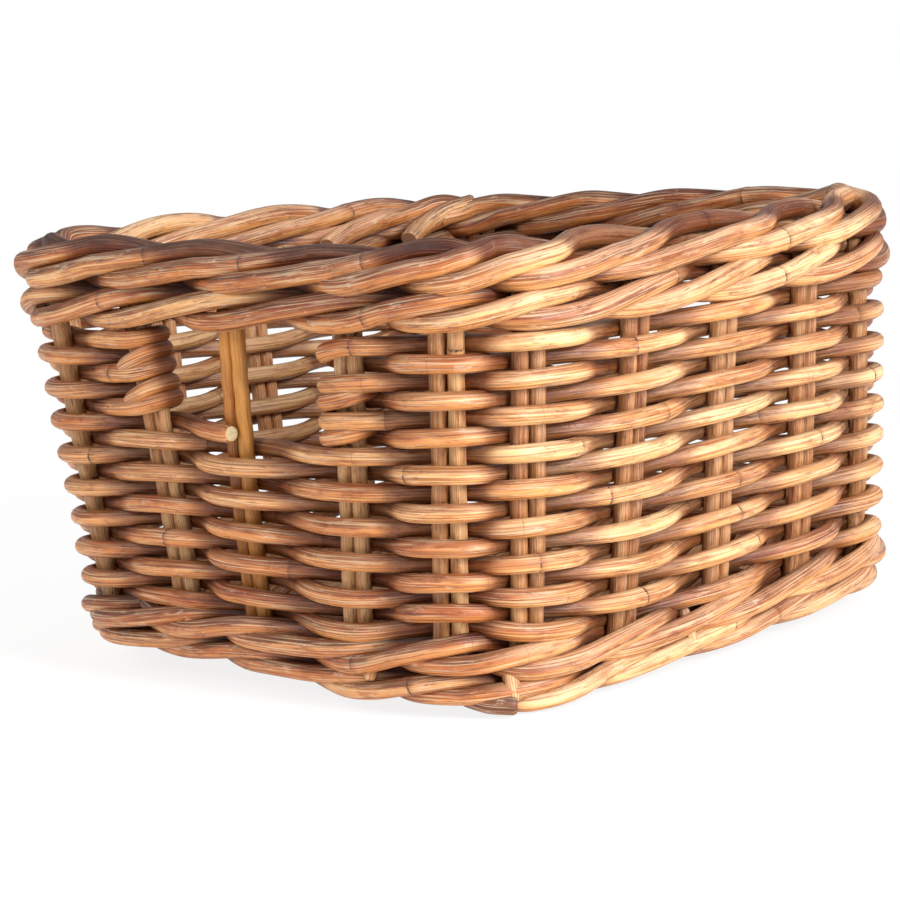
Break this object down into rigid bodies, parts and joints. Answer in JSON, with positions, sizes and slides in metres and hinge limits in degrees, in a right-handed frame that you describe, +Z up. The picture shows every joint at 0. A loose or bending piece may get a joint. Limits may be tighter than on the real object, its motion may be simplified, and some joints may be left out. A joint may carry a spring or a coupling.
{
  "type": "woven basket",
  "caption": "Rectangular rattan basket, open on top, with pairs of upright stakes, plain woven walls, a braided rim and foot, and a hand hole in each of two opposite walls.",
  "frame": {"origin": "middle of the foot, on the floor", "axes": "+Z up, out of the open top; the walls with the hand holes face -Y and +Y"},
  "size_m": [0.3706, 0.3654, 0.2222],
  "materials": {
    "pale_cane": "natural, matt",
    "honey_cane": "natural, satin",
    "red_cane": "natural, satin"
  },
  "bodies": {
    "root": {"stake_pair_01": "pale_cane", "stake_pair_02": "pale_cane", "stake_pair_03": "pale_cane", "stake_pair_04": "pale_cane", "stake_pair_05": "pale_cane", "stake_pair_06": "pale_cane", "stake_pair_07": "pale_cane", "stake_pair_08": "pale_cane", "stake_pair_09": "pale_cane", "stake_pair_10": "pale_cane", "stake_pair_11": "pale_cane", "stake_pair_12": "pale_cane", "stake_pair_13": "pale_cane", "stake_pair_14": "pale_cane", "stake_pair_15": "pale_cane", "stake_pair_16": "pale_cane", "stake_pair_17": "pale_cane", "stake_pair_18": "pale_cane", "stake_pair_19": "pale_cane", "stake_pair_20": "pale_cane", "base_stick_pair_1": "pale_cane", "base_stick_pair_2": "pale_cane", "base_stick_pair_3": "pale_cane", "base_stick_pair_4": "pale_cane", "base_stick_pair_5": "pale_cane", "base_stick_pair_6": "pale_cane", "base_weaver": "honey_cane", "row_weaver_01": "honey_cane", "row_weaver_02": "honey_cane", "row_weaver_03": "honey_cane", "row_weaver_04": "honey_cane", "row_weaver_05": "honey_cane", "row_weaver_06": "honey_cane", "row_weaver_07": "honey_cane", "row_weaver_08": "honey_cane", "row_weaver_09": "honey_cane", "row_weaver_10": "honey_cane", "row_weaver_11": "honey_cane", "panel_weaver_1": "honey_cane", "panel_weaver_2": "honey_cane", "lower_wale_rod_1": "red_cane", "lower_wale_rod_2": "red_cane", "lower_wale_rod_3": "red_cane", "upper_wale_rod_1": "red_cane", "upper_wale_rod_2": "red_cane", "upper_wale_rod_3": "red_cane", "border_rod_1": "red_cane", "border_rod_2": "red_cane", "border_rod_3": "red_cane", "border_rod_4": "red_cane", "foot_border_rod_1": "red_cane", "foot_border_rod_2": "red_cane", "foot_border_rod_3": "red_cane"}
  },
  "joints": []
}
